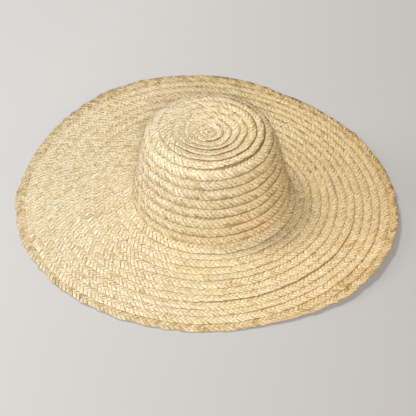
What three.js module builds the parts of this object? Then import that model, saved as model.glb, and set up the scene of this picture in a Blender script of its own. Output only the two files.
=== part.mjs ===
// Palm leaf hat. One plaited palm-leaf braid is sewn row by row in a spiral: from the middle of the
// crown's tip, over the shoulder, down the side, round the fold and out to the edge of the brim.
// Each row's outer edge lies on the next row, so the rows step down like shingles.
// Millimetres, +Z up, front towards -Y. The hat stands on its brim on the plane z = 0.
import * as THREE from "three";

// The braid and its rows
const BRAID_THICKNESS = 1.3;
const ROW_LAP = 3.5; // how far a row runs on under the row before it
const TIP_ROW_PITCH = 9.2; // visible width of a row on the tip
const SIDE_ROW_PITCH = 12.3;
const BRIM_ROW_PITCH = 10.9;
const ROW_WANDER = 0.8; // how far a row's edge strays from an even spiral
const CENTRE_RADIUS = 6; // the folded start of the braid
const END_AZIMUTH = -74; // degrees from +X, where the braid ends at the edge of the brim
const END_TAPER_TURNS = 0.08; // the last stretch of braid, eased in under the row before it
const END_TAPER_SHARE = 0.6; // the share of the row that is tucked away at the braid's end
const SEAM_GAP = 0.3; // between neighbouring pieces

// The crown, measured on its middle surface
const CROWN_HEIGHT = 101; // from the brim at the fold to the top of the shoulder
const CROWN_TOP_RADIUS = 77; // where the shoulder runs out into the side
const CROWN_BASE_RADIUS = 92.5;
const TIP_REACH = 60; // along the surface from the tip's middle to the first of the side's wider rows
const TIP_DISH_DEPTH = 4;
const SHOULDER_RADIUS = 23;
const SHOULDER_LEAN = 13; // degrees from upright, at the top of the side
const BASE_LEAN = 3; // degrees from upright, at the foot of the side
const FOLD_RADIUS = 6; // of the bend from side to brim
const CROWN_SWAY = { x: -3, y: 1 }; // how far the tip stands off the middle of the crown's base

// The brim
const BRIM_WIDTH = 134; // from the fold to the edge
const BRIM_SHIFT = { x: -8, y: 3 }; // how far the edge's middle stands off the middle of the crown's base
const BRIM_SLOPE = 2.6; // degrees down from level, inside the edge
const EDGE_BEND_ROWS = 3; // rows that bend down until the last one lies level underneath
const EDGE_ROW_TURNS = 1.1; // the last row of braid and its tapered end
const EDGE_SWAY = 13; // largest change of the brim's reach
const EDGE_LIFT = 8; // largest rise of the edge off the plane it stands on

// The brim's edge, going round from +X: azimuth in degrees, reach as a share of EDGE_SWAY and lift as a
// share of EDGE_LIFT.
const BRIM_EDGE_FORM = [
  { azimuth: 0, reach: -0.36, lift: 0.8 },
  { azimuth: 30, reach: -1, lift: 0.3 },
  { azimuth: 60, reach: -0.85, lift: 0 },
  { azimuth: 90, reach: 0.17, lift: 0.25 },
  { azimuth: 120, reach: 0.4, lift: 0.5 },
  { azimuth: 150, reach: -0.2, lift: 0.25 },
  { azimuth: 180, reach: 0.1, lift: -0.08 },
  { azimuth: 210, reach: 0.45, lift: 0.1 },
  { azimuth: 240, reach: 0.28, lift: 0.1 },
  { azimuth: 270, reach: 0.2, lift: -0.1 },
  { azimuth: 300, reach: 0.22, lift: 0.3 },
  { azimuth: 330, reach: 0.42, lift: 1 },
];

const SECTIONS_PER_TURN = 42;
const { degToRad, clamp, smoothstep, euclideanModulo } = THREE.MathUtils;

// How far a row's inner edge drops below the row before it where the two lap
const LAP_DROP = (BRAID_THICKNESS * ROW_LAP) / BRIM_ROW_PITCH;
// The slope on which the last row's underside comes out level
const EDGE_SLOPE = Math.atan((BRAID_THICKNESS + LAP_DROP) / (BRIM_ROW_PITCH + ROW_LAP));

// A point at a distance from another, in a direction given as an angle above the level
const polar = (from, angle, distance) =>
  new THREE.Vector2(from.x + distance * Math.cos(angle), from.y + distance * Math.sin(angle));

// The hat's middle surface as radius and height, from the middle of the tip to the edge of the brim, and the
// lengths along it at which the shoulder ends and the fold starts and ends.
function hatProfile() {
  const shoulderLean = degToRad(SHOULDER_LEAN);
  const baseLean = degToRad(BASE_LEAN);
  const slope = degToRad(BRIM_SLOPE);
  const edgeWidth = EDGE_BEND_ROWS * BRIM_ROW_PITCH;

  const shoulder = new THREE.Vector2(
    CROWN_TOP_RADIUS - SHOULDER_RADIUS * Math.cos(shoulderLean),
    CROWN_HEIGHT - SHOULDER_RADIUS,
  );
  const fold = new THREE.Vector2(
    CROWN_BASE_RADIUS + FOLD_RADIUS * Math.cos(baseLean),
    FOLD_RADIUS * Math.cos(slope),
  );
  const sideTop = polar(shoulder, shoulderLean, SHOULDER_RADIUS);
  const sideFoot = polar(fold, Math.PI + baseLean, FOLD_RADIUS);
  // The side bows outwards between its two leans, whose lines meet at this height
  const bowHeight =
    (sideTop.x + sideTop.y * Math.tan(shoulderLean) - sideFoot.x - sideFoot.y * Math.tan(baseLean)) /
    (Math.tan(shoulderLean) - Math.tan(baseLean));
  const bow = new THREE.Vector2(sideFoot.x - (bowHeight - sideFoot.y) * Math.tan(baseLean), bowHeight);
  const foldEnd = polar(fold, -Math.PI / 2 - slope, FOLD_RADIUS);
  const edgeStart = polar(foldEnd, -slope, BRIM_WIDTH - edgeWidth);
  const edgeBend = polar(edgeStart, -slope, edgeWidth / 4);
  const edgeLevel = polar(edgeBend, -EDGE_SLOPE, edgeWidth / 4);
  const edge = polar(edgeLevel, -EDGE_SLOPE, edgeWidth / 2);

  const path = new THREE.Path();
  path.moveTo(0, CROWN_HEIGHT - TIP_DISH_DEPTH);
  path.bezierCurveTo(
    shoulder.x * 0.5,
    CROWN_HEIGHT - TIP_DISH_DEPTH,
    shoulder.x * 0.65,
    CROWN_HEIGHT,
    shoulder.x,
    CROWN_HEIGHT,
  );
  path.absarc(shoulder.x, shoulder.y, SHOULDER_RADIUS, Math.PI / 2, shoulderLean, true);
  const shoulderEndsAt = path.getLength();
  path.quadraticCurveTo(bow.x, bow.y, sideFoot.x, sideFoot.y);
  const foldStartsAt = path.getLength();
  path.absarc(fold.x, fold.y, FOLD_RADIUS, Math.PI + baseLean, Math.PI * 1.5 - slope, false);
  const foldEndsAt = path.getLength();
  path.lineTo(edgeStart.x, edgeStart.y);
  path.quadraticCurveTo(edgeBend.x, edgeBend.y, edgeLevel.x, edgeLevel.y);
  path.lineTo(edge.x, edge.y);
  return { path, length: path.getLength(), shoulderEndsAt, foldStartsAt, foldEndsAt };
}
const profile = hatProfile();

// The turns of the spiral that reach the end of the tip, of the shoulder, of the crown's side, of the fold and
// of the brim
const sideTurns = (reach) => (reach - TIP_REACH) / SIDE_ROW_PITCH;
const TIP_TURNS = (TIP_REACH - CENTRE_RADIUS) / TIP_ROW_PITCH;
const SHOULDER_TURNS = TIP_TURNS + sideTurns(profile.shoulderEndsAt);
const SIDE_TURNS = TIP_TURNS + sideTurns(profile.foldStartsAt);
const CROWN_TURNS = TIP_TURNS + sideTurns(profile.foldEndsAt);
const ALL_TURNS = CROWN_TURNS + (profile.length - profile.foldEndsAt) / BRIM_ROW_PITCH;

// How far along the profile a row's outer edge lies, for a place on the spiral given in turns
function evenEdge(turn) {
  const wander = ROW_WANDER * Math.min(1, turn / 4) * Math.sin(2 * Math.PI * 1.38 * turn);
  return (
    CENTRE_RADIUS +
    TIP_ROW_PITCH * Math.min(turn, TIP_TURNS) +
    SIDE_ROW_PITCH * clamp(turn - TIP_TURNS, 0, CROWN_TURNS - TIP_TURNS) +
    BRIM_ROW_PITCH * Math.max(0, turn - CROWN_TURNS) +
    wander
  );
}
function outerEdge(turn) {
  const tucked = END_TAPER_SHARE * smoothstep(turn, ALL_TURNS - END_TAPER_TURNS, ALL_TURNS);
  return evenEdge(turn) - tucked * BRIM_ROW_PITCH;
}
const innerEdge = (turn) => (turn < 1 ? CENTRE_RADIUS : evenEdge(turn - 1));

// The lap is as wide as the row allows near the middle of the tip
const lapStart = (edge) => edge - Math.min(ROW_LAP, edge / 2);

// The brim's reach and lift at an azimuth, eased from row to row of its table
function brimForm(azimuth) {
  const step = 360 / BRIM_EDGE_FORM.length;
  const rowsRound = euclideanModulo(azimuth, 360) / step;
  const row = Math.floor(rowsRound);
  const column = (name) =>
    [-1, 0, 1, 2].map((k) => BRIM_EDGE_FORM[euclideanModulo(row + k, BRIM_EDGE_FORM.length)][name]);
  const eased = ([before, from, to, after]) => {
    const t = rowsRound - row;
    const leave = (to - before) / 2;
    const arrive = (after - from) / 2;
    return (
      from * (1 - t * t * (3 - 2 * t)) +
      to * t * t * (3 - 2 * t) +
      leave * t * (1 - t) ** 2 -
      arrive * t * t * (1 - t)
    );
  };
  return { reach: EDGE_SWAY * eased(column("reach")), lift: EDGE_LIFT * eased(column("lift")) };
}

// A point of the hat: so far along the profile, so far above the middle surface, at a turn of the spiral
function place(along, above, turn) {
  const azimuth = END_AZIMUTH - 360 * (turn - ALL_TURNS);
  const onProfile = clamp(along, 0, profile.length);
  const point = profile.path.getPoint(onProfile / profile.length);
  const heading = profile.path.getTangent(onProfile / profile.length);
  const radius = point.x + heading.x * (along - onProfile) - heading.y * above;
  const height = point.y + heading.y * (along - onProfile) + heading.x * above;
  const outward = clamp((along - profile.foldEndsAt) / (profile.length - profile.foldEndsAt), 0, 1);
  const upward = clamp(height / CROWN_HEIGHT, 0, 1);
  const { reach, lift } = brimForm(azimuth);
  const swayed = radius + reach * outward;
  return new THREE.Vector3(
    swayed * Math.cos(degToRad(azimuth)) + CROWN_SWAY.x * upward + BRIM_SHIFT.x * outward,
    swayed * Math.sin(degToRad(azimuth)) + CROWN_SWAY.y * upward + BRIM_SHIFT.y * outward,
    height + lift * outward ** 2,
  );
}

// One piece of the hat: so many sections of the spiral from a turn on, sunk by so much under the piece before
// it. Its rows are fused where they lap. Its first row keeps its inner edge, which runs under the piece
// before, except in the middle of the tip, where the first turn closes round the folded start. Rows that go
// over the shoulder or round the fold bend lengthwise, at the fold or near their middle.
function spiralPiece(firstTurn, sections, sink, rowsBend) {
  const points = [];
  const triangles = [];
  const vertex = (along, above, turn) => points.push(place(along, above - sink, turn)) - 1;
  const isCentre = firstTurn === 0;
  const foldAt = (profile.foldStartsAt + profile.foldEndsAt) / 2;
  const rows = [];
  for (let i = 0; i <= sections; i++) {
    const turn = firstTurn + i / SECTIONS_PER_TURN;
    const before = rows[i - SECTIONS_PER_TURN];
    const inner = innerEdge(turn);
    const outer = outerEdge(turn);
    const middle = clamp(foldAt, inner + 0.3 * (outer - inner), inner + 0.6 * (outer - inner));
    const middleRise = (BRAID_THICKNESS * (middle - inner)) / (outer - inner);
    const row = {};
    if (isCentre && i <= SECTIONS_PER_TURN) {
      const first = rows[0];
      const closing = i === SECTIONS_PER_TURN;
      row.round = closing ? first.lip : vertex(inner, BRAID_THICKNESS, turn);
      row.start = closing ? first.lipFoot : i === 0 ? row.round : vertex(inner, BRAID_THICKNESS * (1 - turn), turn);
      row.innerTop = closing ? first.lapEnd : vertex(lapStart(inner), -LAP_DROP, turn);
      row.innerUnder = row.innerTop;
    } else {
      const drop = LAP_DROP + BRAID_THICKNESS * Math.min(1, turn - 1);
      row.start = before ? before.lipFoot : vertex(inner, 0, turn);
      row.innerTop = before ? before.lapEnd : vertex(lapStart(inner), -LAP_DROP, turn);
      row.innerUnder = vertex(lapStart(inner), -drop, turn);
    }
    const opens = isCentre && i === 0;
    row.lip = opens ? row.start : vertex(outer, BRAID_THICKNESS, turn);
    row.lipFoot = vertex(outer, 0, turn);
    row.lapEnd = opens ? row.innerTop : vertex(lapStart(outer), -LAP_DROP, turn);
    row.middle = rowsBend ? vertex(middle, middleRise, turn) : row.start;
    row.middleUnder = rowsBend ? vertex(middle, middleRise - BRAID_THICKNESS, turn) : row.innerUnder;
    rows.push(row);
  }

  // Faces look to the left of the way from one point of a section to the next
  const face = (a, b, c) => {
    if (a !== b && b !== c && c !== a) triangles.push(a, b, c);
  };
  const skin = (a, b, from, to) => {
    for (let i = from; i < to; i++) {
      face(rows[i][a], rows[i + 1][a], rows[i][b]);
      face(rows[i][b], rows[i + 1][a], rows[i + 1][b]);
    }
  };
  skin("start", "middle", 0, sections);
  skin("middle", "lip", 0, sections);
  skin("lip", "lipFoot", 0, sections);
  skin("lipFoot", "lapEnd", sections - SECTIONS_PER_TURN, sections);
  skin("lapEnd", "middleUnder", 0, sections);
  skin("middleUnder", "innerUnder", 0, sections);
  skin("innerUnder", "innerTop", 0, sections);
  if (isCentre) {
    const top = vertex(0, BRAID_THICKNESS, 0);
    const under = vertex(0, -LAP_DROP, 0);
    rows.forEach((row) => Object.assign(row, { top, under }));
    skin("top", "round", 0, SECTIONS_PER_TURN);
    skin("round", "start", 0, SECTIONS_PER_TURN);
    skin("innerTop", "under", 0, SECTIONS_PER_TURN);
  } else {
    skin("innerTop", "start", 0, SECTIONS_PER_TURN);
  }
  // The cut ends of the braid
  const endFace = (row, turned) => {
    const strip = ["innerUnder", "innerTop", "start", "middleUnder", "middle", "lapEnd", "lip", "lipFoot"];
    [
      [0, 1, 2],
      [0, 2, 3],
      [3, 2, 4],
      [3, 4, 5],
      [5, 4, 6],
      [5, 6, 7],
    ].forEach(([a, b, c]) =>
      face(row[strip[a]], row[strip[turned ? c : b]], row[strip[turned ? b : c]]),
    );
  };
  if (!isCentre) endFace(rows[0], false);
  endFace(rows[sections], true);

  const geometry = new THREE.BufferGeometry().setFromPoints(points);
  geometry.setIndex(triangles);
  geometry.computeVertexNormals();
  return geometry;
}

// Dried palm leaf, pale on the crown and a little browner in the last row
const palmLeaf = (colour) => new THREE.MeshStandardMaterial({ color: colour, roughness: 0.8, metalness: 0 });

const PIECES = [
  { name: "crown_tip", endsAt: TIP_TURNS, rowsBend: false, colour: "#e4cfa4" },
  { name: "crown_shoulder", endsAt: SHOULDER_TURNS, rowsBend: true, colour: "#e2cda2" },
  { name: "crown_side", endsAt: SIDE_TURNS, rowsBend: false, colour: "#e0cba0" },
  { name: "brim_fold", endsAt: CROWN_TURNS + 1, rowsBend: true, colour: "#e0cba0" },
  { name: "brim", endsAt: ALL_TURNS - EDGE_ROW_TURNS, rowsBend: false, colour: "#e2cda2" },
  { name: "brim_edge", endsAt: ALL_TURNS, rowsBend: false, colour: "#d3b98a" },
];

const hat = new THREE.Group();
let turn = 0;
PIECES.forEach(({ name, endsAt, rowsBend, colour }, i) => {
  const sections = Math.floor((endsAt - turn) * SECTIONS_PER_TURN);
  const piece = new THREE.Mesh(spiralPiece(turn, sections, i * SEAM_GAP, rowsBend), palmLeaf(colour));
  piece.name = name;
  hat.add(piece);
  const seam = turn + sections / SECTIONS_PER_TURN;
  const seamRadius = profile.path.getPoint(Math.min(1, innerEdge(seam) / profile.length)).x;
  turn = seam + SEAM_GAP / (2 * Math.PI * seamRadius);
});

// The hat stands on the plane z = 0 with the middle of its outline on the origin
const outline = new THREE.Box3().setFromObject(hat);
const middle = outline.getCenter(new THREE.Vector3());
hat.position.set(-middle.x, -middle.y, -outline.min.z);

export default hat;
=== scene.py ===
# Palm leaf hat: a five-strand plait of dried palm leaf, sewn row by row in a spiral from the middle of the
# crown's tip to the edge of the brim. Every strand is a flat strip of leaf that runs over two others and
# under the next two, and is folded over at the plait's edges.
import math
import bpy
import numpy as np
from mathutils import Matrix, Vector


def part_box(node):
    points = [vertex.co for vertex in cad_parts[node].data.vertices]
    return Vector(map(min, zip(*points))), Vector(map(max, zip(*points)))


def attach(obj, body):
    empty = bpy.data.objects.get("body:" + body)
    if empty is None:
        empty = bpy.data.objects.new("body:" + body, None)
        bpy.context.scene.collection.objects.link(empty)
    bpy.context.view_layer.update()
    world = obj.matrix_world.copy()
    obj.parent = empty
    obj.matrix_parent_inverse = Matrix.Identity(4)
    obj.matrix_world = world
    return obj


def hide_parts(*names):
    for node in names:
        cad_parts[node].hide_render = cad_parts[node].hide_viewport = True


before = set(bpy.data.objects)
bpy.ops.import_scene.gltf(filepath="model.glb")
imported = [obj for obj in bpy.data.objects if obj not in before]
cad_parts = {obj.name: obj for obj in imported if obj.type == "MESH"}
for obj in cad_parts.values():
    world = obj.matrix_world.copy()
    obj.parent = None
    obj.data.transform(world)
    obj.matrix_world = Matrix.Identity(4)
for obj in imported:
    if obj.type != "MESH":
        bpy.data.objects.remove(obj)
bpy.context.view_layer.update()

MM = 0.001  # sizes and places are in millimetres until a mesh is made

# The braid and its rows, as the frame has them
BRAID_THICKNESS = 1.3
ROW_LAP = 3.5  # how far a row runs on under the row before it
TIP_ROW_PITCH = 9.2
SIDE_ROW_PITCH = 12.3
BRIM_ROW_PITCH = 10.9
ROW_WANDER = 0.8  # how far a row's edge strays from an even spiral
WANDER_WAVES = 1.38  # in a turn
CENTRE_RADIUS = 6.0  # the folded start of the braid
CENTRE_GAP = 0.3  # how close to the middle it is folded
CENTRE_RISE = 0.4  # how high its inner edge lies, as a share of the braid's thickness
END_AZIMUTH = -74.0  # degrees from +X, where the braid ends
END_TAPER_TURNS = 0.08
END_TAPER_SHARE = 0.6
SEAM_GAP = 0.3
SECTIONS_PER_TURN = 42  # of the frame's solids

# The crown, on its middle surface
CROWN_HEIGHT = 101.0
CROWN_TOP_RADIUS = 77.0
CROWN_BASE_RADIUS = 92.5
TIP_REACH = 60.0
TIP_DISH_DEPTH = 4.0
SHOULDER_RADIUS = 23.0
SHOULDER_LEAN = math.radians(13)
BASE_LEAN = math.radians(3)
FOLD_RADIUS = 6.0
CROWN_SWAY = (-3.0, 1.0)

# The brim
BRIM_WIDTH = 134.0
BRIM_SHIFT = (-8.0, 3.0)
BRIM_SLOPE = math.radians(2.6)
EDGE_BEND_ROWS = 3
EDGE_ROW_TURNS = 1.1
EDGE_SWAY = 13.0
EDGE_LIFT = 8.0

# The brim's edge, going round from +X every 30 degrees: reach as a share of EDGE_SWAY, lift of EDGE_LIFT
BRIM_EDGE_FORM = np.array([
    (-0.36, 0.8), (-1, 0.3), (-0.85, 0), (0.17, 0.25), (0.4, 0.5), (-0.2, 0.25),
    (0.1, -0.08), (0.45, 0.1), (0.28, 0.1), (0.2, -0.1), (0.22, 0.3), (0.42, 1),
])

# The plait
STRANDS = 5
BRAID_WIDTH = 14.0
MEASURED_ACROSS = 0.65  # where its length is taken, as a share of its width
RUNG = 2 * BRAID_WIDTH / STRANDS  # along the braid from one strand to the next that runs the same way
LEAF_THICKNESS = 0.24
LAYER_RISE = 0.3  # of an upper strand's middle above the braid's middle
LEAF_CROWN = 0.1  # how far a strand bulges between its edges
LEAF_TILT = 0.09  # how far a strand's edge lies over its neighbour's
LEAF_FILL = 0.975  # a strand's width as a share of the room it has
LEAF_SLIP = 0.5  # how far a run of leaf from edge to edge has slipped along the braid
LEAF_LIE = 0.08  # how far a run lies higher or lower
LEAF_RELIEF = 0.7  # the share of LEAF_CROWN and LEAF_TILT that pressing has left, on average
CROWN_RELIEF = 0.6  # the share of LEAF_RELIEF that the crown has
BRIM_RELIEF = 0.82
FOLD_SCALLOP = 0.7  # how far a strand's corners draw in where it is folded over
FOLD_JUT = 0.5  # how far a fold stands out past the braid's edge or short of it
RIM_FOLD_JUT = 0.9

# How a row lies
ROW_FLATNESS = 0.6  # 1 keeps a row straight across its width, 0 bends it with the hat
SHOULDER_BEND = 0.7  # the share of that flatness that is lost at the shoulder
TIP_PRESS = 0.6  # how far a row's tucked edge is pressed up under the row above
CROWN_PRESS = 0.7
BRIM_PRESS = 1.0
TIP_LIP_LIFT = 1.0  # how far rows stand off the next one at their edge, on average
CROWN_LIP_LIFT = 1.2
BRIM_LIP_LIFT = 0.5
PROUD_LIP_TURN = 22.3  # one row of the brim stands off more than the others on part of its way round
PROUD_LIP_REACH = 0.15
PROUD_LIP_LIFT = 1.3
END_TUCK = 4.0  # how far the braid's end goes in under the row before it

# What is uneven in braid plaited by hand: by how much, over what length of braid, and the seed of that.
# Straying is in millimetres, and the others are shares.
ROW_STRAY = [(0.5, 70, 5), (0.65, 18, 6), (0.5, 6, 11)]
TIP_STRAY = [(0.2, 18, 6)]  # more of the same waves on the tip
RIM_STRAY = [(0.75, 33, 9), (0.75, 9, 10)]
RIM_EASE = 0.05  # the part of a turn in which the rim's straying sets in
LIP_UNEVENNESS = [(0.5, 110, 7), (0.4, 21, 8)]
LEAF_WIDTH_UNEVENNESS = [(0.07, 60, 20), (0.05, 9, 30)]
LEAF_LOOSENESS = [(0.35, 12, 40)]
LEAF_FLATTENING = [(0.9, 45, 50)]

# The seam that holds each row to the next
STITCH_PITCH = 5.6
STITCH_LENGTH = 2.6
THREAD_RADIUS = 0.22
SEAM_INSET = 2.6  # from the row's free edge
SEAM_START = 30.0  # from the braid's start to the first stitch
SEAM_END = 5.0  # from the last stitch to the braid's end
SEAM_STEP = 2.0  # from point to point of the line that the stitches follow
HOLE_RADIUS = 0.42  # of a needle hole

LAP_DROP = BRAID_THICKNESS * ROW_LAP / BRIM_ROW_PITCH
EDGE_SLOPE = math.atan((BRAID_THICKNESS + LAP_DROP) / (BRIM_ROW_PITCH + ROW_LAP))


def wobble(x, spacing, seed):
    """A smooth random line between -1 and 1, with a new value every so far along x."""
    values = np.random.default_rng(seed).uniform(-1, 1, 4096)
    place = np.asarray(x) / spacing
    knot = np.floor(place).astype(int)
    t = place - knot
    t = t * t * (3 - 2 * t)
    return values[knot % 4096] * (1 - t) + values[(knot + 1) % 4096] * t


def uneven(x, rows, number=0):
    """The sum of smooth random lines, each row giving how much, how long and the seed."""
    return sum(amount * wobble(x, spacing, seed + number) for amount, spacing, seed in rows)


# The hat's surface


def polar(start, angle, distance):
    return np.array(start) + distance * np.array([math.cos(angle), math.sin(angle)])


def arc(centre, radius, start, end):
    angles = np.linspace(start, end, 400)
    return np.column_stack([centre[0] + radius * np.cos(angles), centre[1] + radius * np.sin(angles)])


def bezier(*points):
    t = np.linspace(0, 1, 800)[:, None]
    level = [np.array(p) * np.ones_like(t) for p in points]
    while len(level) > 1:
        level = [a * (1 - t) + b * t for a, b in zip(level, level[1:])]
    return level[0]


def hat_profile():
    """The middle surface as radius and height against the length along it, with the lengths of its marks."""
    edge_width = EDGE_BEND_ROWS * BRIM_ROW_PITCH
    shoulder = (CROWN_TOP_RADIUS - SHOULDER_RADIUS * math.cos(SHOULDER_LEAN), CROWN_HEIGHT - SHOULDER_RADIUS)
    fold = (CROWN_BASE_RADIUS + FOLD_RADIUS * math.cos(BASE_LEAN), FOLD_RADIUS * math.cos(BRIM_SLOPE))
    side_top = polar(shoulder, SHOULDER_LEAN, SHOULDER_RADIUS)
    side_foot = polar(fold, math.pi + BASE_LEAN, FOLD_RADIUS)
    steep, steeper = math.tan(SHOULDER_LEAN), math.tan(BASE_LEAN)
    top_reach = side_top[0] + side_top[1] * steep
    foot_reach = side_foot[0] + side_foot[1] * steeper
    bow_height = (top_reach - foot_reach) / (steep - steeper)
    bow = (side_foot[0] - (bow_height - side_foot[1]) * steeper, bow_height)
    fold_end = polar(fold, -math.pi / 2 - BRIM_SLOPE, FOLD_RADIUS)
    edge_start = polar(fold_end, -BRIM_SLOPE, BRIM_WIDTH - edge_width)
    edge_bend = polar(edge_start, -BRIM_SLOPE, edge_width / 4)
    edge_level = polar(edge_bend, -EDGE_SLOPE, edge_width / 4)
    edge = polar(edge_level, -EDGE_SLOPE, edge_width / 2)
    dish = CROWN_HEIGHT - TIP_DISH_DEPTH
    dish_bend = (shoulder[0] * 0.5, dish)
    top_bend = (shoulder[0] * 0.65, CROWN_HEIGHT)
    runs = [
        bezier((0, dish), dish_bend, top_bend, (shoulder[0], CROWN_HEIGHT)),
        arc(shoulder, SHOULDER_RADIUS, math.pi / 2, SHOULDER_LEAN),
        bezier(side_top, bow, side_foot),
        arc(fold, FOLD_RADIUS, math.pi + BASE_LEAN, math.pi * 1.5 - BRIM_SLOPE),
        np.linspace(fold_end, edge_start, 400),
        bezier(edge_start, edge_bend, edge_level),
        np.linspace(edge_level, edge, 100),
    ]
    points = np.vstack([runs[0]] + [run[1:] for run in runs[1:]])
    length = np.concatenate([[0], np.cumsum(np.linalg.norm(np.diff(points, axis=0), axis=1))])
    ends = np.cumsum([len(runs[0])] + [len(run) - 1 for run in runs[1:]]) - 1
    heading = np.gradient(points, length, axis=0)
    heading /= np.linalg.norm(heading, axis=1)[:, None]
    marks = {"shoulder_end": length[ends[1]], "fold_start": length[ends[2]], "fold_end": length[ends[3]]}
    return length, points, heading, marks


LENGTHS, POINTS, HEADINGS, MARKS = hat_profile()
FULL_LENGTH = LENGTHS[-1]

TIP_TURNS = (TIP_REACH - CENTRE_RADIUS) / TIP_ROW_PITCH
SHOULDER_TURNS = TIP_TURNS + (MARKS["shoulder_end"] - TIP_REACH) / SIDE_ROW_PITCH
SIDE_TURNS = TIP_TURNS + (MARKS["fold_start"] - TIP_REACH) / SIDE_ROW_PITCH
CROWN_TURNS = TIP_TURNS + (MARKS["fold_end"] - TIP_REACH) / SIDE_ROW_PITCH
ALL_TURNS = CROWN_TURNS + (FULL_LENGTH - MARKS["fold_end"]) / BRIM_ROW_PITCH
BRIM_START = [CROWN_TURNS, CROWN_TURNS + 1.5]  # the turns in which rows take on the brim's lie


def even_edge(turn):
    wander = ROW_WANDER * np.clip(turn / 4, 0, 1) * np.sin(2 * math.pi * WANDER_WAVES * turn)
    return (
        CENTRE_RADIUS
        + TIP_ROW_PITCH * np.clip(turn, 0, TIP_TURNS)
        + SIDE_ROW_PITCH * np.clip(turn - TIP_TURNS, 0, CROWN_TURNS - TIP_TURNS)
        + BRIM_ROW_PITCH * np.maximum(0, turn - CROWN_TURNS)
        + wander
    )


def end_share(turn):
    """From 0 to 1 along the tapered end of the braid."""
    return np.clip((turn - ALL_TURNS + END_TAPER_TURNS) / END_TAPER_TURNS, 0, 1)


def outer_edge(turn):
    t = end_share(turn)
    return even_edge(turn) - END_TAPER_SHARE * t * t * (3 - 2 * t) * BRIM_ROW_PITCH


def inner_edge(turn):
    return np.where(turn < 1, CENTRE_RADIUS, even_edge(turn - 1))


def lap_start(edge):
    return edge - np.minimum(ROW_LAP, edge / 2)


def brim_form(azimuth):
    """The brim's reach and lift at an azimuth."""
    rows = len(BRIM_EDGE_FORM)
    rows_round = (azimuth % 360) / (360 / rows)
    row = np.floor(rows_round).astype(int)
    before, start, end, after = (BRIM_EDGE_FORM[(row + k) % rows] for k in (-1, 0, 1, 2))
    t = (rows_round - row)[..., None]
    ease = t * t * (3 - 2 * t)
    eased = start * (1 - ease) + end * ease
    eased = eased + (end - before) / 2 * t * (1 - t) ** 2 - (after - start) / 2 * t * t * (1 - t)
    return EDGE_SWAY * eased[..., 0], EDGE_LIFT * eased[..., 1]


def hat_point(along, above, turn):
    """A point so far along the profile, so far above the middle surface, at a turn of the spiral."""
    azimuth = END_AZIMUTH - 360 * (turn - ALL_TURNS)
    on_profile = np.clip(along, 0, FULL_LENGTH)
    beyond = along - on_profile
    point = [np.interp(on_profile, LENGTHS, POINTS[:, i]) for i in (0, 1)]
    heading = [np.interp(on_profile, LENGTHS, HEADINGS[:, i]) for i in (0, 1)]
    radius = point[0] + heading[0] * beyond - heading[1] * above
    height = point[1] + heading[1] * beyond + heading[0] * above
    outward = np.clip((along - MARKS["fold_end"]) / (FULL_LENGTH - MARKS["fold_end"]), 0, 1)
    upward = np.clip(height / CROWN_HEIGHT, 0, 1)
    reach, lift = brim_form(azimuth)
    swayed = radius + reach * outward
    around = np.radians(azimuth)
    return np.stack([
        swayed * np.cos(around) + CROWN_SWAY[0] * upward + BRIM_SHIFT[0] * outward,
        swayed * np.sin(around) + CROWN_SWAY[1] * upward + BRIM_SHIFT[1] * outward,
        height + lift * outward ** 2,
    ], axis=-1)


def piece_starts():
    """Where each piece of the frame starts on the spiral, in turns."""
    starts = [0.0]
    for end in (TIP_TURNS, SHOULDER_TURNS, SIDE_TURNS, CROWN_TURNS + 1, ALL_TURNS - EDGE_ROW_TURNS):
        seam = starts[-1] + math.floor((end - starts[-1]) * SECTIONS_PER_TURN) / SECTIONS_PER_TURN
        radius = np.interp(inner_edge(np.array(seam)), LENGTHS, POINTS[:, 0])
        starts.append(seam + SEAM_GAP / (2 * math.pi * radius))
    return np.array(starts)


PIECE_STARTS = piece_starts()


def sunk(turn):
    """The frame's pieces are each sunk a little under the one before; the braid eases down the same way."""
    return SEAM_GAP * np.interp(turn, PIECE_STARTS, np.arange(len(PIECE_STARTS)))


def frame_shift():
    """The frame stands with the middle of its outline on the origin, so the last row is set on its box."""
    sections = math.floor((ALL_TURNS - PIECE_STARTS[-1]) * SECTIONS_PER_TURN)
    turn = PIECE_STARTS[-1] + np.arange(sections + 1) / SECTIONS_PER_TURN
    sink = SEAM_GAP * (len(PIECE_STARTS) - 1)
    inner, outer = lap_start(inner_edge(turn)), outer_edge(turn)
    corners = [
        (outer, BRAID_THICKNESS), (outer, 0),
        (lap_start(outer), -LAP_DROP), (inner, -LAP_DROP - BRAID_THICKNESS),
    ]
    points = np.vstack([hat_point(along, above - sink, turn) for along, above in corners])
    low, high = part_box("brim_edge")
    middle = (np.array(low) + np.array(high)) / 2 / MM - (points.min(0) + points.max(0)) / 2
    return np.array([middle[0], middle[1], low.z / MM - points[:, 2].min()])


def plain_length():
    """Turns of the spiral against the way gone along it, before any straying."""
    turn = np.arange(-2, ALL_TURNS + 0.5, 1 / 360)
    radius = np.interp(outer_edge(np.clip(turn, 0, None)), LENGTHS, POINTS[:, 0])
    return turn, np.cumsum(2 * math.pi * np.maximum(radius, CENTRE_RADIUS) / 360)


PLAIN_TURNS, PLAIN_LENGTHS = plain_length()
SHIFT = frame_shift()

# The braid


def edge_stray(turn, way):
    """How far a row's free edge strays out from the spiral."""
    on_tip = np.clip(TIP_TURNS + 1 - turn, 0, 1)
    on_rim = np.clip((turn - ALL_TURNS + 1) / RIM_EASE + 1, 0, 1)
    stray = uneven(way, ROW_STRAY) + on_tip * uneven(way, TIP_STRAY) + on_rim * uneven(way, RIM_STRAY)
    return stray * np.clip(turn, 0, 1)


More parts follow.
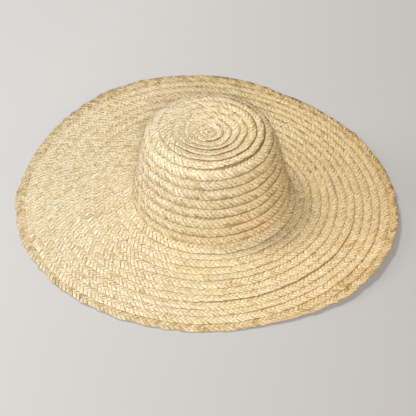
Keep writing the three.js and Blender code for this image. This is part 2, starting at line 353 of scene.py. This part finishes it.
def lip_lift(turn, way):
    """How far a row's free edge stands off the next row."""
    lifts = [TIP_LIP_LIFT, CROWN_LIP_LIFT, CROWN_LIP_LIFT, BRIM_LIP_LIFT]
    lift = np.interp(turn, [TIP_TURNS, SHOULDER_TURNS + 1] + BRIM_START, lifts)
    lift = lift * (1 + uneven(way, LIP_UNEVENNESS)) * np.clip(turn, 0, 1)
    return lift + PROUD_LIP_LIFT * np.exp(-((turn - PROUD_LIP_TURN) / PROUD_LIP_REACH) ** 4)


def row_flatness(turn, middle):
    """How straight a row lies across its width: less at the shoulder, and bent with the hat at the fold."""
    fold_middle = (MARKS["fold_start"] + MARKS["fold_end"]) / 2
    near_fold = np.exp(-((middle - fold_middle) / (1.5 * FOLD_RADIUS)) ** 2)
    shoulder_middle = (TIP_TURNS + SHOULDER_TURNS + 1) / 2
    near_shoulder = np.exp(-((turn - shoulder_middle) / 1.5) ** 4)
    return ROW_FLATNESS * (1 - near_fold) * (1 - SHOULDER_BEND * near_shoulder)


def braid_point(turn, across, rise):
    """A point of the braid: across from 0 at its tucked inner edge to 1 at its free outer edge, and so far
    above its middle."""
    at_centre = turn < 0
    way = np.interp(turn, PLAIN_TURNS, PLAIN_LENGTHS)
    tuck = END_TUCK * end_share(turn) ** 2
    outer = np.where(at_centre, CENTRE_RADIUS, outer_edge(turn) - tuck) + edge_stray(turn, way)
    inner = np.where(at_centre, CENTRE_GAP, lap_start(inner_edge(turn)))
    presses = [TIP_PRESS, CROWN_PRESS, CROWN_PRESS, BRIM_PRESS]
    press = np.interp(turn, [TIP_TURNS - 1.5, TIP_TURNS + 0.5] + BRIM_START, presses)
    lift = lip_lift(turn, way)
    low = np.where(at_centre, CENTRE_RISE * BRAID_THICKNESS, press - LAP_DROP)
    low = low - BRAID_THICKNESS / 2 - sunk(turn)
    high = BRAID_THICKNESS / 2 - sunk(turn)
    along = inner + (outer - inner) * across
    bent = hat_point(along, low + (high - low) * across + lift * across ** 1.5 + rise, turn)
    start = hat_point(inner, low, turn)
    end = hat_point(outer, high + lift, turn)
    level = hat_point(along, low + (high + lift - low) * across, turn)
    straight = start + (end - start) * across[..., None] + bent - level
    flat = row_flatness(turn, (outer + inner) / 2)[..., None]
    return bent * (1 - flat) + straight * flat + SHIFT


def braid_length():
    """Turns of the spiral against the length of braid used up, measured a little outside its middle."""
    turn = np.append(np.arange(-1, ALL_TURNS, 1 / 720), ALL_TURNS)
    line = braid_point(turn, np.full(len(turn), MEASURED_ACROSS), np.zeros(len(turn)))
    steps = np.linalg.norm(np.diff(line, axis=0), axis=1)
    return turn, np.concatenate([[0], np.cumsum(steps)])


TURN_MARKS, LENGTH_MARKS = braid_length()

# A strand's run from edge to edge of the braid: how far across, its height as a share of LAYER_RISE, and how
# square the cross line stands to the strand (0 lies along the braid's edge, 1 square to the strand)
RUN_LINES = np.array([
    (0, 0, 0), (0.045, 1, 0.1), (0.41, 1, 0.9), (0.5, -0.05, 1), (0.59, -1, 0.9), (0.955, -1, 0.1),
])
# A strand's section: how far to each side, and which face
SECTION = np.array([(-1, 0), (-0.75, 1), (0.75, 1), (1, 0), (0.75, -1), (-0.75, -1)])
RANDOM_RUNS = 8192  # a strand's random values start again after so many runs


def strand(number, start, end):
    """One strand between two lengths of braid, ring by ring: its points, the place of each on the leaf and on
    the row, and the leaf's tone."""
    first = math.ceil((start - number * RUNG) / BRAID_WIDTH)
    last = math.ceil((end - number * RUNG) / BRAID_WIDTH)
    run = np.append(np.repeat(np.arange(first, last), len(RUN_LINES)), last)
    line = np.append(np.tile(np.arange(len(RUN_LINES)), last - first), 0)
    share, height, square = RUN_LINES[line].T
    side, face = SECTION.T[:, None, :]
    draws = np.random.default_rng(100 + number).uniform(-1, 1, (3, RANDOM_RUNS))
    tone, slip, lie = draws[:, run % RANDOM_RUNS]
    length = (run + share) * BRAID_WIDTH + number * RUNG
    width = LEAF_FILL + uneven(length, LEAF_WIDTH_UNEVENNESS, number)
    loose = 1 + uneven(length, LEAF_LOOSENESS, number)
    relief = np.interp(np.interp(length, LENGTH_MARKS, TURN_MARKS), BRIM_START, [CROWN_RELIEF, BRIM_RELIEF])
    relief = (relief * np.clip(LEAF_RELIEF + uneven(length, LEAF_FLATTENING, number), 0.1, 2))[:, None]

    # Where each point lies along and across the braid
    unfolded = (run + share)[:, None] - RUNG / (4 * BRAID_WIDTH) * square[:, None] * side
    along = BRAID_WIDTH * unfolded + number * RUNG
    along = along + side * RUNG / 2 * width[:, None] + LEAF_SLIP * slip[:, None]
    turn = np.interp(along, LENGTH_MARKS, TURN_MARKS)
    across = 1 - np.abs(1 - unfolded % 2)
    odd = (run % 2)[:, None]
    folding = (line == 0)[:, None]
    bulge = LEAF_CROWN * relief * (1 - side ** 2)
    half = LEAF_THICKNESS / 2 * face
    jut = np.where(turn > ALL_TURNS - 1, RIM_FOLD_JUT, FOLD_JUT) * odd * slip[:, None]
    drawn = np.where(odd == 1, 1, -1) * (bulge + jut - FOLD_SCALLOP * side ** 2) - half
    across = across + np.where(folding, drawn, 0) / BRAID_WIDTH

    # How high it lies above the braid's middle
    rise = (LAYER_RISE * loose + LEAF_LIE * lie)[:, None] * height[:, None]
    rise = rise + np.sign(height)[:, None] * (bulge - LEAF_TILT * relief * side)
    rise = rise + np.where(odd == 1, -half, half) * np.where(folding, 0, 1)
    points = braid_point(turn, across, rise) * MM

    tone = 0.5 + 0.5 * tone[:, None]
    on_leaf = (unfolded * BRAID_WIDTH * math.sqrt(2), side * RUNG / 2 * math.sqrt(0.5), number + tone)
    leaf = np.stack(np.broadcast_arrays(*on_leaf), -1) * [MM, MM, 1]
    row = np.stack(np.broadcast_arrays(along, across * BRAID_WIDTH, turn), -1) * [MM, MM, 1]
    return points, leaf, row, np.broadcast_to(tone, along.shape)


def plait(name, start, end):
    """All strands of the braid between two places on the spiral, in turns, as one piece."""
    start, end = np.interp([start, end], TURN_MARKS, LENGTH_MARKS)
    parts = {"points": [], "leaf": [], "row": [], "tone": []}
    quads, caps, used = [], [], 0
    ring = len(SECTION)
    for number in range(STRANDS):
        points, leaf, row, tone = strand(number, start, end)
        rings = len(points)
        parts["points"].append(points.reshape(-1, 3))
        parts["leaf"].append(leaf.reshape(-1, 3))
        parts["row"].append(row.reshape(-1, 3))
        parts["tone"].append(tone.reshape(-1, 1))
        index = used + np.arange(rings * ring).reshape(rings, ring)
        following = np.roll(index, -1, axis=1)
        quads.append(np.stack([index[:-1], following[:-1], following[1:], index[1:]], -1).reshape(-1, 4))
        for cap in (index[0][::-1], index[-1]):
            caps += [cap[[0, 1, 4, 5]], cap[[1, 2, 3, 4]]]
        used += rings * ring
    faces = np.vstack(quads + [np.array(caps)])
    mesh = bpy.data.meshes.new(name)
    mesh.vertices.add(used)
    mesh.vertices.foreach_set("co", np.vstack(parts["points"]).ravel())
    mesh.loops.add(faces.size)
    mesh.loops.foreach_set("vertex_index", faces.ravel())
    mesh.polygons.add(len(faces))
    mesh.polygons.foreach_set("loop_start", np.arange(len(faces)) * 4)
    mesh.update(calc_edges=True)
    for key in ("leaf", "row", "tone"):
        kind, field = ("FLOAT", "value") if key == "tone" else ("FLOAT_VECTOR", "vector")
        values = np.vstack(parts[key]).astype(np.float32).ravel()
        mesh.attributes.new(key, kind, "POINT").data.foreach_set(field, values)
    mesh.shade_smooth()
    mesh.validate()
    piece = bpy.data.objects.new(name, mesh)
    bpy.context.scene.collection.objects.link(piece)
    return piece


# The finishes

MATH = "ShaderNodeMath"
MIX = "ShaderNodeMix"
NOISE = "ShaderNodeTexNoise"
TINTED = {"data_type": "RGBA", "blend_type": "MULTIPLY"}
BLENDED = {"data_type": "RGBA"}


def srgb(text):
    """An sRGB hex colour as the linear values that nodes take."""
    values = [int(text[i:i + 2], 16) / 255 for i in (1, 3, 5)]
    return tuple(v / 12.92 if v <= 0.04045 else ((v + 0.055) / 1.055) ** 2.4 for v in values) + (1,)


def node(tree, kind, inputs=(), **settings):
    """Adds a node with its settings and gives its outputs. Each input is a value or the output that feeds it,
    in order or by its name or number."""
    made = tree.nodes.new(kind)
    for name, setting in settings.items():
        setattr(made, name, setting)
    for key, given in inputs.items() if isinstance(inputs, dict) else enumerate(inputs):
        if isinstance(given, bpy.types.NodeSocket):
            tree.links.new(given, made.inputs[key])
        else:
            made.inputs[key].default_value = given
    return made.outputs


def new_material(name):
    material = bpy.data.materials.new(name)
    material.use_nodes = True
    material.node_tree.nodes.clear()
    return material, material.node_tree


def strip_shade(tree, tone, row_length, pale, mid, dark):
    """Each strip's own shade, which drifts every 20 mm or so along the braid."""
    drift = node(tree, NOISE, {"W": row_length, "Scale": 45, "Detail": 2}, noise_dimensions="1D")["Fac"]
    drift = node(tree, MATH, [drift, 0.5], operation="MULTIPLY")[0]
    shade = node(tree, MATH, [tone, 0.75, drift], operation="MULTIPLY_ADD")[0]
    strip = node(tree, "ShaderNodeValToRGB", [shade])[0]
    ramp = strip.node.color_ramp
    ramp.elements[0].position = 0.1
    ramp.elements[0].color = srgb(dark)
    ramp.elements[1].position = 0.85
    ramp.elements[1].color = srgb(pale)
    ramp.elements.new(0.4).color = srgb(mid)
    return strip


def painted_warm_shade(tree, place):
    """Painted warm shade away from the light: paler on the hat's left side, front and top, where the light
    falls.
    """
    x, y, z = node(tree, "ShaderNodeSeparateXYZ", [place])
    steepness = node(tree, MATH, [z, 30, 2.2], operation="MULTIPLY_ADD")[0]
    warm_shade = node(tree, MATH, [x, steepness, 0.42], operation="MULTIPLY_ADD")[0]
    warm_shade = node(tree, MATH, [z, -2.0, warm_shade], operation="MULTIPLY_ADD")[0]
    return node(tree, MATH, [y, 0.4, warm_shade], operation="MULTIPLY_ADD", use_clamp=True)[0]


def fibre_streaks(tree, leaf):
    """Fibres along the strip: real ones are 0.3 mm apart, drawn 0.9 mm apart so that they show."""
    drawn_out = node(tree, "ShaderNodeVectorMath", [leaf, (70, 1100, 13)], operation="MULTIPLY")[0]
    return node(tree, NOISE, {"Vector": drawn_out, "Scale": 1, "Detail": 3})["Fac"]


def leaf_spots(tree, leaf, scales, detail, contrast, start):
    """Patches with soft edges, longer along the strip than across it."""
    drawn_out = node(tree, "ShaderNodeVectorMath", [leaf, scales], operation="MULTIPLY")[0]
    spots = node(tree, NOISE, {"Vector": drawn_out, "Scale": 1, "Detail": detail})["Fac"]
    return node(tree, MATH, [spots, contrast, start], operation="MULTIPLY_ADD", use_clamp=True)[0]


def cut_edges_and_gap_shade(tree, leaf, place, on_crown, warm_shade):
    """How far a strip's edges darken, as browner cut leaf and painted shade in the gaps: in 6 mm patches,
    less on the crown and in the light.
    """
    half_width = RUNG / 2 * math.sqrt(0.5) * MM
    across = node(tree, "ShaderNodeSeparateXYZ", [leaf])["Y"]
    aside = node(tree, MATH, [across], operation="ABSOLUTE")[0]
    # the last fifth of a strip's half width darkens: browner cut edge, and painted shade of the gap beside it
    edge = node(tree, MATH, [aside, 5 / half_width, -4], operation="MULTIPLY_ADD", use_clamp=True)[0]
    patchy = node(tree, NOISE, {"Vector": place, "Scale": 160, "Detail": 1})["Fac"]
    patchy = node(tree, MATH, [patchy, 5.5, -2.2], operation="MULTIPLY_ADD", use_clamp=True)[0]
    for share in (
        node(tree, MATH, [patchy, 0.7, 0.15], operation="MULTIPLY_ADD")[0],
        node(tree, MATH, [on_crown, -0.35, 1.0], operation="MULTIPLY_ADD")[0],
        node(tree, MATH, [warm_shade, 0.5, 0.55], operation="MULTIPLY_ADD")[0],
    ):
        edge = node(tree, MATH, [edge, share], operation="MULTIPLY")[0]
    return edge


def painted_lap_shadow(tree, row_across, on_crown, warm_shade):
    """Painted shadow under each row's lip, where it runs out from under the one before: most on the crown and
    its warm shaded side.
    """
    softness = 0.5
    # how far past the lap the painted shadow shows, further on the crown where the lips stand off more
    shown = 0.7
    shown_on_crown = 1.2
    reach = node(
        tree, MATH, [on_crown, shown_on_crown / softness, (ROW_LAP + shown) / softness],
        operation="MULTIPLY_ADD",
    )[0]
    lap_shadow = node(
        tree, MATH, [row_across, -1 / (softness * MM), reach],
        operation="MULTIPLY_ADD", use_clamp=True,
    )[0]
    crown_share = node(tree, MATH, [warm_shade, 0.6, 0.2], operation="MULTIPLY_ADD")[0]
    share = node(tree, MATH, [warm_shade, 0.3, 0.1], operation="MULTIPLY_ADD")[0]
    share = node(tree, MATH, [on_crown, crown_share, share], operation="MULTIPLY_ADD")[0]
    return node(tree, MATH, [lap_shadow, share], operation="MULTIPLY")[0]


def needle_holes(tree, row_length, row_across):
    """The holes beside the seam, one to a stitch, with soft edges."""
    softness = 0.3
    pitch = STITCH_PITCH * MM
    along = node(tree, MATH, [row_length, pitch, 0], operation="WRAP")[0]
    along = node(tree, MATH, [along, pitch / 2], operation="SUBTRACT")[0]
    aside = node(tree, MATH, [row_across, (BRAID_WIDTH - SEAM_INSET) * MM], operation="SUBTRACT")[0]
    off_hole = node(tree, "ShaderNodeCombineXYZ", [along, aside])[0]
    off_hole = node(tree, "ShaderNodeVectorMath", [off_hole], operation="LENGTH")["Value"]
    return node(
        tree, MATH, [off_hole, -1 / (softness * MM), 1 + HOLE_RADIUS / softness],
        operation="MULTIPLY_ADD", use_clamp=True,
    )[0]


def palm_leaf(name, pale, mid, dark, fleck, brown_share):
    """Dried palm leaf, cut in strips and plaited: pale straw, each strip its own shade, with fibres along it,
    brown flecks, darker cut edges and a faint waxy gloss. Painted shade darkens the gaps between strips, the
    needle holes and each row under the lip of the one before, and a warm painted shade lies away from the
    light."""
    material, tree = new_material(name)
    leaf = node(tree, "ShaderNodeAttribute", attribute_name="leaf")["Vector"]
    row = node(tree, "ShaderNodeAttribute", attribute_name="row")["Vector"]
    tone = node(tree, "ShaderNodeAttribute", attribute_name="tone")["Fac"]
    place = node(tree, "ShaderNodeTexCoord")["Object"]
    row_length, row_across, turn = node(tree, "ShaderNodeSeparateXYZ", [row])
    on_crown = node(
        tree, MATH, [turn, (TIP_TURNS + CROWN_TURNS) / 2, (CROWN_TURNS - TIP_TURNS) / 2],
        operation="COMPARE",
    )[0]
    warm_shade = painted_warm_shade(tree, place)
    fibre = fibre_streaks(tree, leaf)
    hole = needle_holes(tree, row_length, row_across)

    # Mottle of 3 by 1 mm, flecks of 5 by 1.5 mm, and a few strips that are browner all over
    streaks = node(tree, MATH, [fibre, 2.2, -0.85], operation="MULTIPLY_ADD", use_clamp=True)[0]
    mottle = leaf_spots(tree, leaf, (330, 1000, 5.1), 2, 3.5, -1.35)
    flecks = leaf_spots(tree, leaf, (190, 650, 7.3), 1, 10, -6.3)
    brown = node(tree, MATH, [tone, -40, 40 * brown_share], operation="MULTIPLY_ADD", use_clamp=True)[0]
    brown = node(tree, MATH, [brown, 0.22], operation="MULTIPLY")[0]
    edges_and_gap_shade = cut_edges_and_gap_shade(tree, leaf, place, on_crown, warm_shade)
    lap_shadow = painted_lap_shadow(tree, row_across, on_crown, warm_shade)
    # Painted shade in each needle hole, where the bump also dips
    hole_shade = node(tree, MATH, [hole, 0.7], operation="MULTIPLY")[0]

    # One finish over the other
    colour = strip_shade(tree, tone, row_length, pale, mid, dark)
    for share, laid_on, way in (
        (streaks, "#e8dabc", TINTED),
        (mottle, "#dcc9a4", TINTED),
        (flecks, fleck, BLENDED),
        (brown, fleck, BLENDED),
        # browner cut edges, with painted shade in the gaps between strips
        (edges_and_gap_shade, "#9c7b4c", TINTED),
        # painted shadow under each row's lip
        (lap_shadow, "#8f6a38", TINTED),
        # painted shade in the needle holes
        (hole_shade, "#6d4f2c", BLENDED),
        # painted shade: a warmer tint on the side away from the light
        (warm_shade, "#fff0d4", TINTED),
    ):
        colour = node(tree, MIX, {0: share, 6: colour, 7: srgb(laid_on)}, **way)[2]

    height = node(tree, MATH, [hole, -2.0, fibre], operation="MULTIPLY_ADD")[0]
    normal = node(
        tree, "ShaderNodeBump", {"Height": height, "Strength": 0.5, "Distance": 0.25 * MM},
    )["Normal"]
    roughness = node(tree, MATH, [fibre, 0.2, 0.5], operation="MULTIPLY_ADD")[0]
    shader = node(
        tree, "ShaderNodeBsdfPrincipled",
        {"Base Color": colour, "Roughness": roughness, "Normal": normal, "IOR": 1.45},
    )["BSDF"]
    node(tree, "ShaderNodeOutputMaterial", {"Surface": shader})
    return material


def cotton_thread():
    """Twisted cotton sewing thread, undyed: matt and near the colour of the leaf. Its twist is drawn 1 mm
    long so that it shows."""
    material, tree = new_material("cotton thread, twisted")
    place = node(tree, "ShaderNodeTexCoord")["Object"]
    twist = node(tree, NOISE, {"Vector": place, "Scale": 900})["Fac"]
    colour = node(tree, MIX, {0: twist, 6: srgb("#d2bd8e"), 7: srgb("#e8d8b2")}, **BLENDED)[2]
    normal = node(tree, "ShaderNodeBump", {"Height": twist, "Strength": 0.4, "Distance": 0.1 * MM})["Normal"]
    shader = node(
        tree, "ShaderNodeBsdfPrincipled", {"Base Color": colour, "Normal": normal, "Roughness": 0.85},
    )["BSDF"]
    node(tree, "ShaderNodeOutputMaterial", {"Surface": shader})
    return material


def painted_board():
    """Matt painted board, with painted shade making it a little darker towards the front right."""
    material, tree = new_material("matt painted board")
    place = node(tree, "ShaderNodeTexCoord")["Object"]
    x, y, z = node(tree, "ShaderNodeSeparateXYZ", [place])
    # painted shade, where the light falls off towards the front right
    shade = node(tree, MATH, [x, 1.3, 0.4], operation="MULTIPLY_ADD")[0]
    shade = node(tree, MATH, [y, -0.7, shade], operation="MULTIPLY_ADD", use_clamp=True)[0]
    colour = node(tree, MIX, {0: shade, 6: srgb("#cbcac8"), 7: srgb("#b2afac")}, **BLENDED)[2]
    shader = node(tree, "ShaderNodeBsdfPrincipled", {"Base Color": colour, "Roughness": 0.9})["BSDF"]
    node(tree, "ShaderNodeOutputMaterial", {"Surface": shader})
    return material


leaf_finish = palm_leaf("dried palm leaf, plaited", "#f9f2dd", "#f2e9ce", "#e6d8b4", "#a9804a", 0.03)
# The rim's leaf: more browned strips, and base colours darker as painted shade where the brim's edge turns
# down
rim_finish_with_shade = palm_leaf("dried palm leaf, browner, with painted shade", "#eee3c7", "#e3d5b3", "#cfbb91", "#8a6738", 0.14)

# The pieces of the plait: name, start and end in turns, the solid of the frame that it stands for, finish
BRIM_MIDDLE = (PIECE_STARTS[4] + PIECE_STARTS[5]) / 2 + 1
PIECES = [
    ("crown_tip_plait", -1, PIECE_STARTS[1], "crown_tip", leaf_finish),
    ("crown_shoulder_plait", PIECE_STARTS[1], PIECE_STARTS[2], "crown_shoulder", leaf_finish),
    ("crown_side_plait", PIECE_STARTS[2], PIECE_STARTS[3], "crown_side", leaf_finish),
    ("brim_fold_plait", PIECE_STARTS[3], PIECE_STARTS[4], "brim_fold", leaf_finish),
    ("brim_inner_plait", PIECE_STARTS[4], BRIM_MIDDLE, "brim", leaf_finish),
    ("brim_outer_plait", BRIM_MIDDLE, PIECE_STARTS[5], "brim", leaf_finish),
    ("brim_edge_plait", PIECE_STARTS[5], ALL_TURNS, "brim_edge", rim_finish_with_shade),
]
for name, start, end, replaced, finish in PIECES:
    piece = plait(name, start, end)
    piece.data.materials.append(finish)
    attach(piece, "root")
    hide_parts(replaced)

# The seam


def stitch_tree():
    """Lays stitches along a line of points, each square to the point's up direction."""
    tree = bpy.data.node_groups.new("seam stitches", "GeometryNodeTree")
    kinds = {
        "Seam": "Geometry", "Pitch": "Float", "Length": "Float", "Radius": "Float", "Stray": "Float",
        "Seed": "Int", "Thread": "Material",
    }
    identifiers = {}
    for name, kind in kinds.items():
        socket = tree.interface.new_socket(name, in_out="INPUT", socket_type="NodeSocket" + kind)
        identifiers[name] = socket.identifier
    tree.interface.new_socket("Stitches", in_out="OUTPUT", socket_type="NodeSocketGeometry")
    given = node(tree, "NodeGroupInput")

    # One stitch: a short bowed thread with its ends sunk in the braid
    half = node(tree, MATH, [given["Length"], 0.5], operation="MULTIPLY")[0]
    back = node(tree, MATH, [half, -1], operation="MULTIPLY")[0]
    sunk_end = node(tree, MATH, [given["Radius"], -2], operation="MULTIPLY")[0]
    crest = node(tree, MATH, [given["Radius"], 2.5], operation="MULTIPLY")[0]
    ends = [node(tree, "ShaderNodeCombineXYZ", {"X": x, "Z": sunk_end})[0] for x in (back, half)]
    top = node(tree, "ShaderNodeCombineXYZ", {"Z": crest})[0]
    bow = node(
        tree, "GeometryNodeCurveQuadraticBezier",
        {"Start": ends[0], "Middle": top, "End": ends[1], "Resolution": 3},
    )[0]
    section = node(tree, "GeometryNodeCurvePrimitiveCircle", {"Radius": given["Radius"], "Resolution": 5})[0]
    stitch = node(
        tree, "GeometryNodeCurveToMesh", {"Curve": bow, "Profile Curve": section, "Fill Caps": True},
    )[0]

    # Its turn at each place: along the seam, upright on the braid, and a little astray
    tangent = node(tree, "GeometryNodeInputTangent")[0]
    up = node(tree, "GeometryNodeInputNamedAttribute", {"Name": "up"}, data_type="FLOAT_VECTOR")[0]
    lying = node(tree, "FunctionNodeAlignRotationToVector", {"Vector": tangent}, axis="X")[0]
    facing = node(
        tree, "FunctionNodeAlignRotationToVector", {"Rotation": lying, "Vector": up},
        axis="Z", pivot_axis="X",
    )[0]
    least = node(tree, MATH, [given["Stray"], -1], operation="MULTIPLY")[0]
    turned = node(
        tree, "FunctionNodeRandomValue", {2: least, 3: given["Stray"], "Seed": given["Seed"]},
        data_type="FLOAT",
    )[1]
    spin = node(tree, "ShaderNodeCombineXYZ", {"Z": turned})[0]
    spin = node(tree, "FunctionNodeEulerToRotation", [spin])[0]
    rotation = node(
        tree, "FunctionNodeRotateRotation", {"Rotation": facing, "Rotate By": spin},
        rotation_space="LOCAL",
    )[0]

    line = node(tree, "GeometryNodeMeshToCurve", {"Mesh": given["Seam"]})[0]
    places = node(
        tree, "GeometryNodeResampleCurve", {"Curve": line, "Length": given["Pitch"]}, mode="LENGTH",
    )[0]
    laid = node(
        tree, "GeometryNodeInstanceOnPoints", {"Points": places, "Instance": stitch, "Rotation": rotation},
    )[0]
    real = node(tree, "GeometryNodeRealizeInstances", [laid])[0]
    finished = node(tree, "GeometryNodeSetMaterial", {"Geometry": real, "Material": given["Thread"]})[0]
    node(tree, "NodeGroupOutput", [finished])
    return tree, identifiers


def seam():
    """The stitches of the whole spiral, one piece."""
    length = np.arange(LENGTH_MARKS[0] + SEAM_START, LENGTH_MARKS[-1] - SEAM_END, SEAM_STEP)
    turn = np.interp(length, LENGTH_MARKS, TURN_MARKS)
    across = np.full(len(turn), 1 - SEAM_INSET / BRAID_WIDTH)
    rise = LAYER_RISE + LEAF_THICKNESS / 2 + LEAF_CROWN
    points = braid_point(turn, across, np.full(len(turn), rise))
    up = braid_point(turn, across, np.full(len(turn), rise + 1)) - points
    mesh = bpy.data.meshes.new("seam_stitches")
    mesh.from_pydata(points * MM, [(i, i + 1) for i in range(len(points) - 1)], [])
    upward = mesh.attributes.new("up", "FLOAT_VECTOR", "POINT")
    upward.data.foreach_set("vector", up.astype(np.float32).ravel())
    piece = bpy.data.objects.new("seam_stitches", mesh)
    bpy.context.scene.collection.objects.link(piece)
    tree, identifiers = stitch_tree()
    modifier = piece.modifiers.new("stitches", "NODES")
    modifier.node_group = tree
    sizes = {
        "Pitch": STITCH_PITCH * MM, "Length": STITCH_LENGTH * MM, "Radius": THREAD_RADIUS * MM, "Stray": 0.2,
        "Seed": 3, "Thread": cotton_thread(),
    }
    for name, value in sizes.items():
        modifier[identifiers[name]] = value
    bpy.context.view_layer.update()
    made = bpy.data.meshes.new_from_object(piece.evaluated_get(bpy.context.evaluated_depsgraph_get()))
    piece.modifiers.remove(modifier)
    piece.data = made
    made.name = "seam_stitches"
    return piece


stitches = seam()
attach(stitches, "root")

# Floor, light and camera

FLOOR_REACH = 6.0  # metres to each side
DAYLIGHT = (1, 1, 1)
WARM_WALL = (1, 0.74, 0.4)
ROOM = (1, 0.92, 0.8, 1)
VIEW_ANGLE = math.radians(10)
CAMERA_ELEVATION = math.radians(42)
CAMERA_DISTANCE = 2.813
CAMERA_TARGET = Vector((0.0025, -0.019, 0))


def area_light(name, place, size, power, colour):
    """A round soft light turned to the hat, its place and size in metres."""
    light = bpy.data.lights.new(name, "AREA")
    light.shape = "DISK"
    light.size = size
    light.energy = power
    light.color = colour
    lamp = bpy.data.objects.new(name, light)
    lamp.location = place
    lamp.rotation_euler = (-Vector(place)).to_track_quat("-Z", "Y").to_euler()
    bpy.context.scene.collection.objects.link(lamp)


floor_mesh = bpy.data.meshes.new("floor")
corners = [(x * FLOOR_REACH, y * FLOOR_REACH, 0) for x, y in ((-1, -1), (1, -1), (1, 1), (-1, 1))]
floor_mesh.from_pydata(corners, [], [(0, 1, 2, 3)])
floor_mesh.materials.append(painted_board())
floor = bpy.data.objects.new("floor", floor_mesh)
bpy.context.scene.collection.objects.link(floor)

area_light("left window", (-3.8, -0.2, 1.7), 2.0, 60, DAYLIGHT)
area_light("back left", (-1.9, 1.0, 3.8), 1.4, 94, DAYLIGHT)
area_light("front", (0.1, -3.4, 2.9), 1.1, 155, DAYLIGHT)
area_light("warm bounce", (3.0, -1.0, 1.0), 1.6, 14, WARM_WALL)
world = bpy.data.worlds.new("studio")
world.use_nodes = True
world.node_tree.nodes["Background"].inputs["Color"].default_value = ROOM
world.node_tree.nodes["Background"].inputs["Strength"].default_value = 0.1
bpy.context.scene.world = world
bpy.context.scene.view_settings.view_transform = "Standard"

camera_data = bpy.data.cameras.new("camera")
camera_data.sensor_width = 36
camera_data.lens = camera_data.sensor_width / 2 / math.tan(VIEW_ANGLE / 2)
camera = bpy.data.objects.new("camera", camera_data)
bpy.context.scene.collection.objects.link(camera)
back = Vector((0, -math.cos(CAMERA_ELEVATION), math.sin(CAMERA_ELEVATION)))
camera.location = CAMERA_TARGET + back * CAMERA_DISTANCE
camera.rotation_euler = (-back).to_track_quat("-Z", "Y").to_euler()
bpy.context.scene.camera = camera
